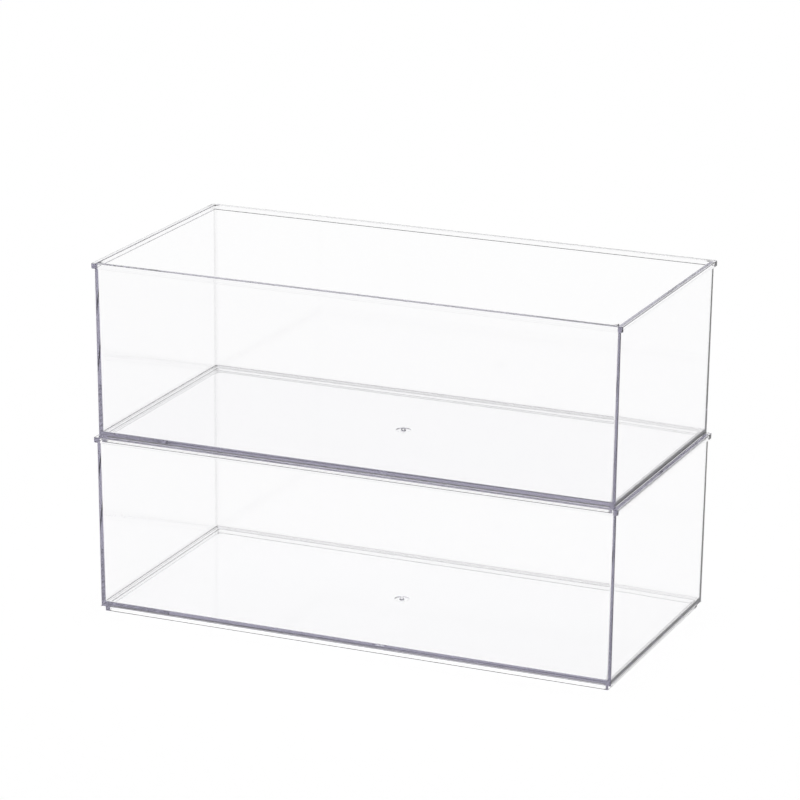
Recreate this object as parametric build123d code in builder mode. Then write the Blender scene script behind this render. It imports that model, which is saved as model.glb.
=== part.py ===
"""Two clear stacking storage bins, one standing on the other.

Each bin is one injection moulding: a flat floor, four thin walls that lean out a little
towards the top so that the mould can open, a small rim all round the mouth, and a low
rectangular foot under the floor. The foot of the upper bin drops inside the rim of the
lower one and keeps the stack square. The two bins are the same moulding.

Frame: millimetres, +Z up, the long sides along X. The origin is on the surface that the
stack stands on, under the middle of the bins.
"""

import math
import os

from build123d import *

# Driving dimensions of one bin
RIM_LENGTH = 320.0  # along X, over the rim
RIM_WIDTH = 158.0  # along Y, over the rim
BODY_HEIGHT = 102.8  # from the underside of the floor to the top of the rim

RIM_REACH = 1.6  # how far the rim stands out from the walls
RIM_HEIGHT = 3.1
RIM_CORNER_RADIUS = 1.5
RIM_EDGE_RADIUS = 0.35

OUTER_LEAN = 0.8  # how much further in each wall's outer face is at the floor
WALL_AT_RIM = 1.7
WALL_AT_FLOOR = 2.3
WALL_CORNER_RADIUS = 1.0  # the upright corners, outside, under the rim
CAVITY_CORNER_RADIUS = 0.6  # the upright corners, inside, at the floor

FLOOR = 2.8
UNDERSIDE_EDGE_RADIUS = 0.3  # where the floor's underside turns up into the walls
FLOOR_EDGE_RADIUS = 0.4  # where the floor meets the walls inside

FOOT_HEIGHT = 3.3
FOOT_WALL = 2.0
FOOT_INSET = 1.9  # from the outer face of the walls at the floor to the foot
FOOT_CORNER_RADIUS = 0.3  # outside
FOOT_EDGE_RADIUS = 0.3  # round its lower face
FOOT_ROOT_RADIUS = 1.5  # inside, at its corners and where it meets the floor

GATE_RECESS_RADIUS = 4.4  # the round mark where the plastic was let into the mould
GATE_RECESS_DEPTH = 0.5
GATE_STUB_RADIUS = 1.5
GATE_STUB_TIP_RADIUS = 1.0
GATE_STUB_HEIGHT = 1.6  # from the bottom of the recess

# How the bins stack
SEAT_GAP = 0.2  # play between the lower rim and the upper bin that stands on it
BIN_NAMES = ["lower_bin", "upper_bin"]

# Worked out from the driving dimensions
WALL_LENGTH = RIM_LENGTH - 2 * (RIM_REACH + OUTER_LEAN)  # outer, at the floor
WALL_WIDTH = RIM_WIDTH - 2 * (RIM_REACH + OUTER_LEAN)
CAVITY_LENGTH = WALL_LENGTH - 2 * WALL_AT_FLOOR  # inner, at the floor's underside
CAVITY_WIDTH = WALL_WIDTH - 2 * WALL_AT_FLOOR
INNER_LEAN = OUTER_LEAN + WALL_AT_FLOOR - WALL_AT_RIM
FOOT_LENGTH = WALL_LENGTH - 2 * FOOT_INSET
FOOT_WIDTH = WALL_WIDTH - 2 * FOOT_INSET
STACK_PITCH = BODY_HEIGHT + SEAT_GAP


def lean_angle(lean):
    """The angle from upright of a wall face that leans out by lean over the body's height."""
    return math.degrees(math.atan2(lean, BODY_HEIGHT))


def lean_at(lean, height):
    """How far that face has leaned out at a height above the underside of the floor."""
    return lean * height / BODY_HEIGHT


def upright_edges(builder):
    """The edges of a leaning block that run from its bottom to its top."""
    edges = builder.edges()
    level = edges.filter_by(Axis.X) + edges.filter_by(Axis.Y)
    return edges - level


def make_bin(name, foot_z):
    """One bin whose foot stands at foot_z."""
    underside = foot_z + FOOT_HEIGHT
    floor_top = underside + FLOOR
    rim_top = underside + BODY_HEIGHT
    rim_under = rim_top - RIM_HEIGHT

    with BuildPart() as moulding:
        # The walls and the floor, first as a solid block that widens upwards
        with BuildSketch(Plane.XY.offset(underside)):
            Rectangle(WALL_LENGTH, WALL_WIDTH)
        extrude(amount=BODY_HEIGHT, taper=-lean_angle(OUTER_LEAN))
        fillet(upright_edges(moulding), radius=WALL_CORNER_RADIUS)
        underside_edges = moulding.faces().sort_by(Axis.Z)[0].edges()
        fillet(underside_edges, radius=UNDERSIDE_EDGE_RADIUS)

        # The rim, flush with the top of the walls
        with BuildSketch(Plane.XY.offset(rim_under)):
            RectangleRounded(RIM_LENGTH, RIM_WIDTH, RIM_CORNER_RADIUS)
        extrude(amount=RIM_HEIGHT)

        # The inside
        leaned = 2 * lean_at(INNER_LEAN, FLOOR)
        with BuildSketch(Plane.XY.offset(floor_top)):
            RectangleRounded(
                CAVITY_LENGTH + leaned, CAVITY_WIDTH + leaned, CAVITY_CORNER_RADIUS
            )
        extrude(
            amount=BODY_HEIGHT - FLOOR,
            taper=-lean_angle(INNER_LEAN),
            mode=Mode.SUBTRACT,
        )
        level_faces = moulding.faces().filter_by(Plane.XY)
        floor_face = level_faces.sort_by_distance((0, 0, floor_top))[0]
        fillet(floor_face.edges(), radius=FLOOR_EDGE_RADIUS)

        # The rim's two long edges lose their sharpness
        rim_face = moulding.faces().sort_by(Axis.Z)[-1]
        fillet(rim_face.edges(), radius=RIM_EDGE_RADIUS)

        # The foot, an upright band under the floor
        with BuildSketch(Plane.XY.offset(foot_z)):
            RectangleRounded(FOOT_LENGTH, FOOT_WIDTH, FOOT_CORNER_RADIUS)
            RectangleRounded(
                FOOT_LENGTH - 2 * FOOT_WALL,
                FOOT_WIDTH - 2 * FOOT_WALL,
                FOOT_ROOT_RADIUS,
                mode=Mode.SUBTRACT,
            )
        extrude(amount=FOOT_HEIGHT)
        level_faces = moulding.faces().filter_by(Plane.XY)
        underside_face = level_faces.sort_by_distance((0, 0, underside))[0]
        fillet(underside_face.edges(), radius=FOOT_ROOT_RADIUS)
        foot_face = moulding.faces().sort_by(Axis.Z)[0]
        fillet(foot_face.edges(), radius=FOOT_EDGE_RADIUS)

        # The gate mark: a shallow round recess in the floor with a short stub in it
        recess_bottom = floor_top - GATE_RECESS_DEPTH
        with BuildSketch(Plane.XY.offset(recess_bottom)):
            Circle(GATE_RECESS_RADIUS)
        extrude(amount=GATE_RECESS_DEPTH, mode=Mode.SUBTRACT)
        with BuildSketch(Plane.XY.offset(recess_bottom)):
            Circle(GATE_STUB_RADIUS)
        with BuildSketch(Plane.XY.offset(recess_bottom + GATE_STUB_HEIGHT)):
            Circle(GATE_STUB_TIP_RADIUS)
        loft()

    moulding.part.label = name
    return moulding.part


os.makedirs("parts", exist_ok=True)
for level, bin_name in enumerate(BIN_NAMES):
    storage_bin = make_bin(bin_name, level * STACK_PITCH)
    export_step(storage_bin, f"parts/{bin_name}.step")
    print(bin_name, "volume", round(storage_bin.volume), "mm3")
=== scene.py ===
# %% [markdown]
# # Two clear stacking storage bins
#
# The object is a pair of clear plastic bins for a fridge or a pantry shelf, one standing on
# the other. Each is one injection moulding with a rim round its mouth and a low foot under
# its floor. Nothing on it is painted or printed, so its whole look is light bending in the
# plastic: the broad faces almost vanish, and every edge shows as a dark or a lilac line.
# That is why this lesson spends its effort on true wall thicknesses, small true radii and
# a material that absorbs light over its real depth, and not on surface colour.
#
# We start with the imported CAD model. It is the fixed frame: every size and place below comes
# from it, or from the moulding's own few dimensions.

# %% Load the frame
import math

import bmesh
import bpy
from mathutils import Matrix, Vector


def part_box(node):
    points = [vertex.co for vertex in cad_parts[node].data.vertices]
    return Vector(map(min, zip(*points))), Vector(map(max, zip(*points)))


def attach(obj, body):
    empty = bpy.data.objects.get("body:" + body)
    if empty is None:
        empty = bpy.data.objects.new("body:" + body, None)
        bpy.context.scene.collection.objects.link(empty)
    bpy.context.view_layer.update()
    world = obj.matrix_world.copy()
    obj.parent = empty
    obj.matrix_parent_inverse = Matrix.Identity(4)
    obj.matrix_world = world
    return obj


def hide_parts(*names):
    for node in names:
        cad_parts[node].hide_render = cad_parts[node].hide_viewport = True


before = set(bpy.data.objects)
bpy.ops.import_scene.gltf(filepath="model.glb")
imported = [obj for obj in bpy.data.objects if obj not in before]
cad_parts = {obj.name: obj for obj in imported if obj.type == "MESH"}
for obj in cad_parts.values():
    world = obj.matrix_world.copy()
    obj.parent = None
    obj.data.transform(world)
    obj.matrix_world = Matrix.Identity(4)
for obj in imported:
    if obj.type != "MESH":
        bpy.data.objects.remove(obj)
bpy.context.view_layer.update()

MM = 0.001

scene = bpy.context.scene
bin_low, bin_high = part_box("lower_bin")
upper_low, upper_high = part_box("upper_bin")
print("one bin in mm", [round(x / MM, 2) for x in bin_high - bin_low])

# %% [markdown]
# ## Camera
#
# The stack is seen from a little above and from its front right corner, far away through a
# long lens, as a catalogue shows it. A far camera keeps the upright edges almost parallel.
# We place it with an azimuth and an elevation round a point in the middle of the stack:
# azimuth 0 looks along +Y, and a positive one walks round to the right. `to_track_quat`
# turns the camera to face that point, and a small roll levels the stack.

# %% Camera
CAMERA_AZIMUTH = math.radians(23.16)
CAMERA_ELEVATION = math.radians(16.67)
CAMERA_ROLL = math.radians(0.51)
CAMERA_DISTANCE = 2.197  # m
CAMERA_LENS = 172.2  # mm
CAMERA_AIM = Vector((-0.0026, 0.0, 0.1268))
CAMERA_SEES_TO = 400.0  # m, past the far corners of the floor


def add_camera():
    """Adds the scene's camera and makes it the active one."""
    away = Vector(
        (
            math.sin(CAMERA_AZIMUTH) * math.cos(CAMERA_ELEVATION),
            -math.cos(CAMERA_AZIMUTH) * math.cos(CAMERA_ELEVATION),
            math.sin(CAMERA_ELEVATION),
        )
    )
    bpy.ops.object.camera_add(location=CAMERA_AIM + CAMERA_DISTANCE * away)
    camera = bpy.context.object
    camera.name = "camera"
    facing = away.to_track_quat("Z", "Y").to_matrix()
    roll = Matrix.Rotation(CAMERA_ROLL, 3, "Z")
    camera.rotation_euler = (facing @ roll).to_euler()
    camera.data.lens = CAMERA_LENS
    camera.data.clip_end = CAMERA_SEES_TO
    scene.camera = camera
    return camera


camera = add_camera()
print("camera at", [round(x, 3) for x in camera.location])

# %% [markdown]
# ## Floor and light
#
# A clear object has no shading of its own. It shows what is round it, bent, so the set
# matters more than any lamp. This is a bright-field set: a large white floor and a surround
# that is white low down and turns dark overhead. Straight through a flat wall we see white,
# while a rounded edge bends the view up into the dark part and so draws itself as a thin
# line.
#
# The floor glows, so that it is the same white as the surround at every distance and the
# horizon doesn't show in low views. The surround is a world shader: the height of the
# direction looked in goes through a colour ramp.

# %% Floor and surround
FLOOR_SIZE = 200.0
FLOOR_PLAY = 0.0005  # the floor lies this far under the foot
FLOOR_WHITENESS = 0.25  # the share of light that it gives back
SKY_WHITE_UP_TO = 0.32  # as the sine of the height above the horizon
SKY_DARK_FROM = 0.60
SKY_DARK = 0.03
SKY_STEPS = 1000  # strips of sky that are summed up


def sky_brightness(sine):
    """The surround's brightness in the direction whose height has this sine."""
    along = (sine - SKY_WHITE_UP_TO) / (SKY_DARK_FROM - SKY_WHITE_UP_TO)
    along = min(max(along, 0.0), 1.0)
    return 1 + along * (SKY_DARK - 1)


def sky_share():
    """How bright the sky makes a white floor, where 1 is a sky that is white all over."""
    sines = [(step + 0.5) / SKY_STEPS for step in range(SKY_STEPS)]
    return sum(2 * sine * sky_brightness(sine) for sine in sines) / SKY_STEPS


floor_glow = 1 - FLOOR_WHITENESS * sky_share()


def add_floor():
    """Adds the white floor that the stack stands on."""
    bpy.ops.mesh.primitive_plane_add(size=FLOOR_SIZE, location=(0, 0, -FLOOR_PLAY))
    floor = bpy.context.object
    floor.name = "floor"
    white = bpy.data.materials.new("floor_white")
    white.use_nodes = True
    shader = white.node_tree.nodes["Principled BSDF"]
    grey = FLOOR_WHITENESS
    shader.inputs["Base Color"].default_value = (grey, grey, grey, 1)
    shader.inputs["Roughness"].default_value = 1.0
    shader.inputs["Specular IOR Level"].default_value = 0.0
    shader.inputs["Emission Color"].default_value = (1, 1, 1, 1)
    shader.inputs["Emission Strength"].default_value = floor_glow
    floor.data.materials.append(white)


def add_surround():
    """Gives the world a white that turns dark overhead."""
    world = bpy.data.worlds.new("studio")
    scene.world = world
    world.use_nodes = True
    tree = world.node_tree
    direction = tree.nodes.new("ShaderNodeTexCoord")
    height = tree.nodes.new("ShaderNodeSeparateXYZ")
    ramp = tree.nodes.new("ShaderNodeValToRGB")
    tree.links.new(direction.outputs["Generated"], height.inputs["Vector"])
    tree.links.new(height.outputs["Z"], ramp.inputs["Fac"])
    tree.links.new(ramp.outputs["Color"], tree.nodes["Background"].inputs["Color"])
    white, dark = ramp.color_ramp.elements
    white.position = SKY_WHITE_UP_TO
    white.color = (1, 1, 1, 1)
    dark.position = SKY_DARK_FROM
    dark.color = (SKY_DARK, SKY_DARK, SKY_DARK, 1)


add_floor()
add_surround()
print("floor glows", round(floor_glow, 3), "and gives back", FLOOR_WHITENESS)

# %% [markdown]
# ## Light paths
#
# Light that runs up inside a wall is reflected many times before it comes out, so the
# renderer is allowed many bounces. With few, the lilac edge bands turn black. Caustics stay
# on, and no filter is put on sharp reflections, because the edges are made of them. The
# Standard view shows the white of the set as white.

# %% Light paths
LIGHT_BOUNCES = 48
FLOOR_BOUNCES = 4

scene.view_settings.view_transform = "Standard"
scene.cycles.max_bounces = LIGHT_BOUNCES
scene.cycles.transmission_bounces = LIGHT_BOUNCES
scene.cycles.glossy_bounces = LIGHT_BOUNCES
scene.cycles.diffuse_bounces = FLOOR_BOUNCES
scene.cycles.caustics_reflective = True
scene.cycles.caustics_refractive = True
scene.cycles.blur_glossy = 0.0
print("bounces", scene.cycles.max_bounces)

# %% [markdown]
# ## The dimensions of the moulding
#
# A good plastic part has few dimensions. The overall length, width and height come from the
# frame. The rest are the moulding's own: the walls are thicker at the floor than at the rim,
# because the two halves of the mould each need some draft to come away.

# %% Dimensions of one bin
RIM_LENGTH = bin_high.x - bin_low.x
RIM_WIDTH = bin_high.y - bin_low.y
RIM_TOP = bin_high.z
RIM_HEIGHT = 3.1 * MM
RIM_REACH = 1.6 * MM

OUTER_LEAN = 0.8 * MM  # how much further in the wall's outer face is at the floor
WALL_AT_RIM = 1.7 * MM
WALL_AT_FLOOR = 2.3 * MM
FLOOR = 2.8 * MM

FOOT_HEIGHT = 3.3 * MM
FOOT_INSET = 1.9 * MM
FOOT_WALL = 2.0 * MM

UNDERSIDE = bin_low.z + FOOT_HEIGHT
WALL_LENGTH = RIM_LENGTH - 2 * (RIM_REACH + OUTER_LEAN)  # outer, at the floor
WALL_WIDTH = RIM_WIDTH - 2 * (RIM_REACH + OUTER_LEAN)
print("walls at the floor in mm", round(WALL_LENGTH / MM, 2), round(WALL_WIDTH / MM, 2))

# %% [markdown]
# ## The body, grown out of the rim
#
# The bin could be carved with booleans, but growing it face by face gives a plain mesh of few
# faces, so that the next one is easy to find. We start with the slab of plastic that is the rim.
# Its lower face is inset and pulled down into the walls, inset again and pulled down into
# the foot, then inset and pushed back up inside the foot. Its upper face is inset by the
# rim and the wall and pushed down to the floor. After each pull the face that moved is
# scaled a little, and that is the draft.
#
# Each step works on one selected face. One helper deselects all and selects the faces for
# which a test is true, and another pulls and scales what is selected.

# %% Helpers for selecting and pulling
TINY = 0.01 * MM
LEVEL = 0.9  # a face whose normal has more than this along Z is level


def start_editing(piece):
    """Makes piece the only selected object and opens it for editing."""
    bpy.ops.object.select_all(action="DESELECT")
    piece.select_set(True)
    bpy.context.view_layer.objects.active = piece
    bpy.ops.object.mode_set(mode="EDIT")


def select_faces(piece, wanted):
    """Selects only the faces for which wanted(centre, normal) is true."""
    bpy.ops.mesh.select_mode(type="FACE")
    bpy.ops.mesh.select_all(action="DESELECT")
    mesh = bmesh.from_edit_mesh(piece.data)
    found = [f for f in mesh.faces if wanted(f.calc_center_median(), f.normal)]
    for face in found:
        face.select_set(True)
    bmesh.update_edit_mesh(piece.data)
    return len(found)


def pull(distance, scale_x=1.0, scale_y=1.0):
    """Extrudes the selected face along Z by distance and scales it about the bin's axis."""
    bpy.ops.mesh.extrude_region_move(TRANSFORM_OT_translate={"value": (0, 0, distance)})
    bpy.ops.transform.resize(value=(scale_x, scale_y, 1), center_override=(0, 0, 0))


def on_axis(centre, normal):
    """Whether a face's centre lies on the bin's upright axis."""
    return abs(centre.x) < TINY and abs(centre.y) < TINY


# %% The rim slab
def add_rim_slab():
    """Adds the block that the bin grows out of, the size of its rim."""
    bpy.ops.object.select_all(action="DESELECT")
    bpy.ops.mesh.primitive_cube_add(
        size=1,
        location=(0, 0, RIM_TOP - RIM_HEIGHT / 2),
        scale=(RIM_LENGTH, RIM_WIDTH, RIM_HEIGHT),
    )
    bpy.ops.object.transform_apply(location=True, rotation=True, scale=True)
    slab = bpy.context.object
    slab.name = "lower_bin_shell"
    return slab


lower_shell = add_rim_slab()
print("rim slab in mm", [round(x / MM, 2) for x in lower_shell.dimensions])

# %% Walls and foot, pulled down from under the rim
start_editing(lower_shell)
select_faces(lower_shell, lambda centre, normal: normal.z < -LEVEL)
bpy.ops.mesh.inset(thickness=RIM_REACH)
wall_top_length = RIM_LENGTH - 2 * RIM_REACH
wall_top_width = RIM_WIDTH - 2 * RIM_REACH
pull(
    UNDERSIDE - (RIM_TOP - RIM_HEIGHT),
    WALL_LENGTH / wall_top_length,
    WALL_WIDTH / wall_top_width,
)
bpy.ops.mesh.inset(thickness=FOOT_INSET)
pull(-FOOT_HEIGHT)
bpy.ops.mesh.inset(thickness=FOOT_WALL)
pull(FOOT_HEIGHT)
print("faces so far", len(bmesh.from_edit_mesh(lower_shell.data).faces))

# %% The inside, pushed down from the top
select_faces(lower_shell, lambda centre, normal: normal.z > LEVEL and on_axis(centre, normal))
bpy.ops.mesh.inset(thickness=RIM_REACH + WALL_AT_RIM)
mouth_length = wall_top_length - 2 * WALL_AT_RIM
mouth_width = wall_top_width - 2 * WALL_AT_RIM
pull(
    UNDERSIDE + FLOOR - RIM_TOP,
    (WALL_LENGTH - 2 * WALL_AT_FLOOR) / mouth_length,
    (WALL_WIDTH - 2 * WALL_AT_FLOOR) / mouth_width,
)
bpy.ops.object.mode_set(mode="OBJECT")
print("mouth in mm", round(mouth_length / MM, 1), round(mouth_width / MM, 1))

# %% [markdown]
# ## Rounded edges
#
# A mould's edges are never perfectly sharp, and in clear plastic the radius decides how an
# edge looks: a wide one spreads the view into a soft grey, a tight one draws a crisp line.
# So each kind of edge gets the radius of its own, with the Bevel operator, from the inside
# outwards. Edges are picked by where their two ends are. Four segments are enough, because
# smooth shading does the rest.
#
# One fault is left here. The tests underside_edge, mouth_edge and foot_edge are too wide: at
# the corners they also pick short edges that aren't part of the outline meant, and the bevel
# folds small faces over each other there. The mesh stays closed, but it crosses itself at
# those corners. A narrower test should pick 20 edges for the underside, 20 for the mouth and
# 28 for the foot, where these pick 40, 44 and 72.

# %% Helper for rounding
EDGE_SEGMENTS = 4


def round_edges(piece, radius, wanted):
    """Rounds the edges for which wanted(one_end, other_end) is true."""
    start_editing(piece)
    bpy.ops.mesh.select_mode(type="EDGE")
    bpy.ops.mesh.select_all(action="DESELECT")
    mesh = bmesh.from_edit_mesh(piece.data)
    found = [e for e in mesh.edges if wanted(e.verts[0].co, e.verts[1].co)]
    for edge in found:
        edge.select_set(True)
    bmesh.update_edit_mesh(piece.data)
    bpy.ops.mesh.bevel(offset=radius, segments=EDGE_SEGMENTS, affect="EDGES")
    bpy.ops.object.mode_set(mode="OBJECT")
    return len(found)


def both(test):
    """Makes a test of an edge out of a test of one point."""
    return lambda one_end, other_end: test(one_end) and test(other_end)


# %% Round the inside
INNER_CORNER_RADIUS = 0.6 * MM
FLOOR_EDGE_RADIUS = 0.4 * MM
floor_top = UNDERSIDE + FLOOR


def inside_walls(point):
    """Whether a point is in the bin, nearer its axis than the walls' outer faces."""
    near = abs(point.x) < WALL_LENGTH / 2 - TINY and abs(point.y) < WALL_WIDTH / 2 - TINY
    return near and point.z > floor_top - TINY


def inner_corner(one_end, other_end):
    """Whether an edge is an upright corner of the inside."""
    low_end = min(one_end.z, other_end.z) < floor_top + TINY
    upright = abs(one_end.z - other_end.z) > RIM_HEIGHT
    return inside_walls(one_end) and inside_walls(other_end) and low_end and upright


def floor_outline(point):
    """Whether a point is on the outline of the floor, inside the bin."""
    return inside_walls(point) and abs(point.z - floor_top) < TINY


rounded = round_edges(lower_shell, INNER_CORNER_RADIUS, inner_corner)
rounded += round_edges(lower_shell, FLOOR_EDGE_RADIUS, both(floor_outline))
print("inside edges rounded", rounded)

# %% Round the outside of the walls
OUTER_CORNER_RADIUS = 1.0 * MM
UNDERSIDE_EDGE_RADIUS = 0.3 * MM


def outer_wall(point):
    """Whether a point is on the walls' outer faces, under the rim."""
    far = abs(point.x) > WALL_LENGTH / 2 - TINY or abs(point.y) > WALL_WIDTH / 2 - TINY
    return far and UNDERSIDE - TINY < point.z


def outer_corner(one_end, other_end):
    """Whether an edge is an upright corner of the walls, from the underside to the rim."""
    low_end = min(one_end.z, other_end.z) < UNDERSIDE + TINY
    upright = abs(one_end.z - other_end.z) > RIM_HEIGHT
    return outer_wall(one_end) and outer_wall(other_end) and low_end and upright


def underside_edge(point):
    """Whether a point is on the outline of the floor's underside."""
    corner_cut = OUTER_CORNER_RADIUS + TINY
    far = (
        abs(point.x) > WALL_LENGTH / 2 - corner_cut
        or abs(point.y) > WALL_WIDTH / 2 - corner_cut
    )
    return far and abs(point.z - UNDERSIDE) < TINY


rounded = round_edges(lower_shell, OUTER_CORNER_RADIUS, outer_corner)
rounded += round_edges(lower_shell, UNDERSIDE_EDGE_RADIUS, both(underside_edge))
print("outside edges rounded", rounded)

# %% Round the rim
RIM_CORNER_RADIUS = 1.5 * MM
RIM_EDGE_RADIUS = 0.35 * MM


def rim_corner(one_end, other_end):
    """Whether an edge is one of the rim's four upright corners."""
    upright = abs(one_end.z - other_end.z) > RIM_HEIGHT / 2
    return upright and abs(one_end.x) > RIM_LENGTH / 2 - TINY


def rim_outside(point):
    """Whether a point is on the rim's outline, after its corners are rounded."""
    in_rim = point.z > RIM_TOP - RIM_HEIGHT - TINY
    corner_cut = RIM_REACH / 2
    far = (
        abs(point.x) > RIM_LENGTH / 2 - corner_cut
        or abs(point.y) > RIM_WIDTH / 2 - corner_cut
    )
    return in_rim and far


def mouth_edge(point):
    """Whether a point is on the rim's top, at the mouth."""
    on_top = point.z > RIM_TOP - TINY
    return on_top and not rim_outside(point)


def rim_loop(one_end, other_end):
    """Whether an edge goes round the rim, at its top or at its underside."""
    level = abs(one_end.z - other_end.z) < TINY
    return level and rim_outside(one_end) and rim_outside(other_end)


rounded = round_edges(lower_shell, RIM_CORNER_RADIUS, rim_corner)
rounded += round_edges(lower_shell, RIM_EDGE_RADIUS, rim_loop)
rounded += round_edges(lower_shell, RIM_EDGE_RADIUS, both(mouth_edge))
print("rim edges rounded", rounded)

# %% Round the foot
FOOT_EDGE_RADIUS = 0.3 * MM
FOOT_ROOT_RADIUS = 1.5 * MM
foot_inner_length = WALL_LENGTH - 2 * (FOOT_INSET + FOOT_WALL)
foot_inner_width = WALL_WIDTH - 2 * (FOOT_INSET + FOOT_WALL)


def foot_inside(point):
    """Whether a point is on the foot's inner faces."""
    within = (
        abs(point.x) < foot_inner_length / 2 + TINY
        and abs(point.y) < foot_inner_width / 2 + TINY
    )
    return within and point.z < UNDERSIDE + TINY


def foot_root(one_end, other_end):
    """Whether an edge joins the foot to the underside, or is an upright inner corner."""
    high_end = max(one_end.z, other_end.z) > UNDERSIDE - TINY
    return foot_inside(one_end) and foot_inside(other_end) and high_end


def foot_edge(one_end, other_end):
    """Whether an edge is on the foot's lower face, or is an upright outer corner."""
    return min(one_end.z, other_end.z) < bin_low.z + TINY


rounded = round_edges(lower_shell, FOOT_ROOT_RADIUS, foot_root)
rounded += round_edges(lower_shell, FOOT_EDGE_RADIUS, foot_edge)
print("foot edges rounded", rounded)

# %% [markdown]
# ## The gate mark
#
# Plastic enters the mould through a small hole, the gate, at the middle of the floor. It
# leaves a shallow round recess with a broken-off stub standing in it. The recess is cut with
# a Boolean, because a round shape in the middle of a plain rectangular face is what booleans
# do cleanly. The stub is grown out of the recess, like the walls: its round bottom is inset
# to the stub's size, pulled up and narrowed.

# %% Cut the recess
GATE_RADIUS = 4.4 * MM
GATE_DEPTH = 0.5 * MM
GATE_STEPS = 48


def add_drum(radius, bottom, height):
    """Adds an upright drum on the bin's axis."""
    bpy.ops.object.select_all(action="DESELECT")
    bpy.ops.mesh.primitive_cylinder_add(
        vertices=GATE_STEPS,
        radius=radius,
        depth=height,
        location=(0, 0, bottom + height / 2),
    )
    bpy.ops.object.transform_apply(location=True, rotation=True, scale=True)
    return bpy.context.object


def cut(piece, cutter):
    """Takes the cutter's shape out of piece and throws the cutter away."""
    modifier = piece.modifiers.new("cut", "BOOLEAN")
    modifier.operation = "DIFFERENCE"
    modifier.solver = "EXACT"
    modifier.object = cutter
    bpy.ops.object.select_all(action="DESELECT")
    bpy.context.view_layer.objects.active = piece
    bpy.ops.object.modifier_apply(modifier=modifier.name)
    bpy.data.objects.remove(cutter)


recess_bottom = floor_top - GATE_DEPTH
cut(lower_shell, add_drum(GATE_RADIUS, recess_bottom, 2 * GATE_DEPTH))
print("faces with the recess", len(lower_shell.data.polygons))

# %% Grow the stub
STUB_RADIUS = 1.5 * MM
STUB_TIP_RADIUS = 1.0 * MM
STUB_HEIGHT = 1.6 * MM


def recess_floor(centre, normal):
    """Whether a face is the round bottom of the recess."""
    return on_axis(centre, normal) and abs(centre.z - recess_bottom) < TINY


start_editing(lower_shell)
select_faces(lower_shell, recess_floor)
bpy.ops.mesh.inset(thickness=GATE_RADIUS - STUB_RADIUS)
narrowing = STUB_TIP_RADIUS / STUB_RADIUS
pull(STUB_HEIGHT, narrowing, narrowing)
bpy.ops.object.mode_set(mode="OBJECT")
print("faces with the stub", len(lower_shell.data.polygons))

# %% [markdown]
# ## Shading
#
# The faces are smooth-shaded so that the small bevels read as round. On its own that would
# also bend the normals of the big flat walls next to them, and the view through the walls
# would swim. A Weighted Normal modifier gives the big faces the last word, so they stay
# optically flat and only the bevels curve.

# %% Shade the shell
SMOOTH_UP_TO = math.radians(40)


def finish_shading(piece):
    """Shades the mesh smooth round the bevels and keeps its big faces flat."""
    bpy.ops.object.select_all(action="DESELECT")
    piece.select_set(True)
    bpy.context.view_layer.objects.active = piece
    bpy.ops.object.shade_smooth_by_angle(angle=SMOOTH_UP_TO)
    modifier = piece.modifiers.new("flat_faces_win", "WEIGHTED_NORMAL")
    modifier.keep_sharp = True
    bpy.ops.object.modifier_apply(modifier=modifier.name)


finish_shading(lower_shell)
print("triangles", sum(len(p.vertices) - 2 for p in lower_shell.data.polygons))

# %% [markdown]
# ## Clear plastic
#
# The plastic is a clear styrene copolymer, which bends light more than glass does, so its
# index of refraction is 1.58. Its surface is colourless. The lilac shows only where light
# has gone a long way through it: along the edges and through the corners. That is what the
# Volume Absorption node does, and why the colour is there and not in the base colour.

# %% Plastic that absorbs light
PLASTIC_IOR = 1.58
ABSORBED_PER_METRE = (7.1, 7.4, 5.8)  # of red, green and blue light
ABSORPTION_DENSITY = 10.0  # what black would absorb, and more than any of the three


def add_plastic(name, roughness):
    """Adds a material of the bins' clear plastic, with one roughness all over."""
    plastic = bpy.data.materials.new(name)
    plastic.use_nodes = True
    tree = plastic.node_tree
    shader = tree.nodes["Principled BSDF"]
    shader.inputs["Base Color"].default_value = (1, 1, 1, 1)
    shader.inputs["Roughness"].default_value = roughness
    shader.inputs["IOR"].default_value = PLASTIC_IOR
    shader.inputs["Transmission Weight"].default_value = 1.0
    absorption = tree.nodes.new("ShaderNodeVolumeAbsorption")
    absorption.inputs["Density"].default_value = ABSORPTION_DENSITY
    left = [1 - taken / ABSORPTION_DENSITY for taken in ABSORBED_PER_METRE]
    absorption.inputs["Color"].default_value = (*left, 1)
    tree.links.new(absorption.outputs["Volume"], tree.nodes["Material Output"].inputs["Volume"])
    return plastic


def add_noise(plastic, feature_size, detail):
    """Adds noise on Object coordinates with features of the given size, and returns it."""
    nodes = plastic.node_tree.nodes
    place = nodes.new("ShaderNodeTexCoord")
    noise = nodes.new("ShaderNodeTexNoise")
    noise.inputs["Scale"].default_value = 1 / feature_size
    noise.inputs["Detail"].default_value = detail
    plastic.node_tree.links.new(place.outputs["Object"], noise.inputs["Vector"])
    return noise


def add_bump(plastic, noise, depth):
    """Lets noise raise and lower the surface by about depth."""
    tree = plastic.node_tree
    bump = tree.nodes.new("ShaderNodeBump")
    bump.inputs["Distance"].default_value = depth
    tree.links.new(noise.outputs["Fac"], bump.inputs["Height"])
    tree.links.new(bump.outputs["Normal"], tree.nodes["Principled BSDF"].inputs["Normal"])


# %% [markdown]
# ## The polished faces
#
# A polished mould still leaves two faint traces. Plastic shrinks unevenly as it cools, so
# the faces wave by some hundredths of a millimetre over a few centimetres. That is a large
# soft noise through a Bump node. And handling dulls the gloss in patches, which is a second
# noise that a Map Range node turns into a roughness near zero. Both are kept this weak on
# purpose: a clear wall that is seen to be rough stops looking clear.

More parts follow.
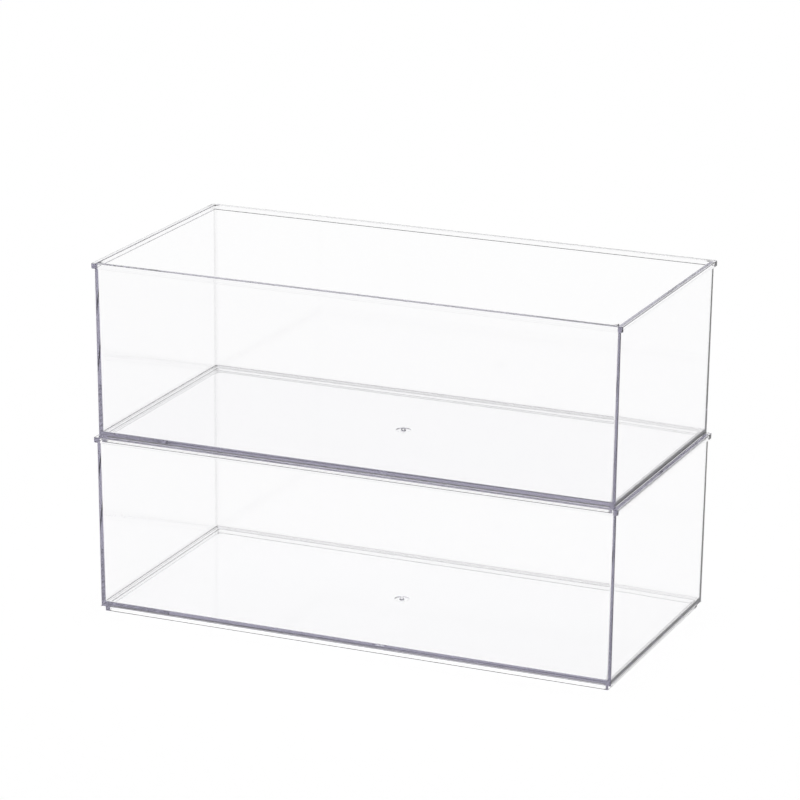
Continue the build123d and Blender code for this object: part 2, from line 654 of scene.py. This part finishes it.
# %% Clear plastic with its waviness and wear
WAVE_SIZE = 45 * MM
WAVE_DEPTH = 0.02 * MM
WAVE_DETAIL = 0.0  # one soft wave, without finer ones on it
WEAR_SIZE = 18 * MM
WEAR_DETAIL = 4.0
WEAR_STARTS_AT = 0.55  # of the noise's height, which runs from 0 to 1
WEAR_FULL_AT = 0.80
WEAR_ROUGHNESS = 0.03


def make_clear_plastic():
    """Makes the material of the polished faces."""
    plastic = add_plastic("clear_plastic", roughness=0.0)
    add_bump(plastic, add_noise(plastic, WAVE_SIZE, WAVE_DETAIL), WAVE_DEPTH)
    tree = plastic.node_tree
    wear = add_noise(plastic, WEAR_SIZE, WEAR_DETAIL)
    dulling = tree.nodes.new("ShaderNodeMapRange")
    dulling.inputs["From Min"].default_value = WEAR_STARTS_AT
    dulling.inputs["From Max"].default_value = WEAR_FULL_AT
    dulling.inputs["To Min"].default_value = 0.0
    dulling.inputs["To Max"].default_value = WEAR_ROUGHNESS
    tree.links.new(wear.outputs["Fac"], dulling.inputs["Value"])
    tree.links.new(dulling.outputs["Result"], tree.nodes["Principled BSDF"].inputs["Roughness"])
    return plastic


clear_plastic = make_clear_plastic()
lower_shell.data.materials.append(clear_plastic)
print("materials", [m.name for m in lower_shell.data.materials])

# %% [markdown]
# ## The broken-off stub
#
# Where the stub was torn from the plastic in the gate, its tip is rough and looks frosted.
# It gets a material of its own on that one face, with the same absorption, so that light
# meets the same plastic on whichever face it enters.

# %% Frosted plastic on the stub's tip
BREAK_ROUGHNESS = 0.45
BREAK_GRAIN = 0.5 * MM
BREAK_DEPTH = 0.05 * MM
BREAK_DETAIL = 2.0


def make_broken_plastic():
    """Makes the material of the face where the stub was torn off."""
    plastic = add_plastic("broken_plastic", BREAK_ROUGHNESS)
    add_bump(plastic, add_noise(plastic, BREAK_GRAIN, BREAK_DETAIL), BREAK_DEPTH)
    return plastic


def stub_tip(face):
    """Whether a face is the stub's tip."""
    tip_height = recess_bottom + STUB_HEIGHT
    return on_axis(face.center, face.normal) and abs(face.center.z - tip_height) < TINY


lower_shell.data.materials.append(make_broken_plastic())
broken_slot = len(lower_shell.data.materials) - 1
tips = [face for face in lower_shell.data.polygons if stub_tip(face)]
for face in tips:
    face.material_index = broken_slot
print("frosted faces", len(tips))

# %% [markdown]
# ## The second bin
#
# Both bins come out of the same mould, so the upper one is a copy with a mesh of its own.
# Its place goes into its mesh: it is moved up by the distance that the frame gives between
# the two bins, and the move is applied.

# %% Copy the bin and hand both over
def copy_upwards(piece, name, distance):
    """Copies piece with its own mesh, and moves the copy's mesh up by distance."""
    bpy.ops.object.select_all(action="DESELECT")
    piece.select_set(True)
    bpy.context.view_layer.objects.active = piece
    bpy.ops.object.duplicate(linked=False)
    copy = bpy.context.object
    copy.name = name
    bpy.ops.transform.translate(value=(0, 0, distance))
    bpy.ops.object.transform_apply(location=True, rotation=False, scale=False)
    return copy


upper_shell = copy_upwards(lower_shell, "upper_bin_shell", upper_low.z - bin_low.z)
for shell, name in ((lower_shell, "lower_bin"), (upper_shell, "upper_bin")):
    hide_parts(name)
    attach(shell, name)
print("bins", round((upper_low.z - bin_low.z) / MM, 2), "mm apart")
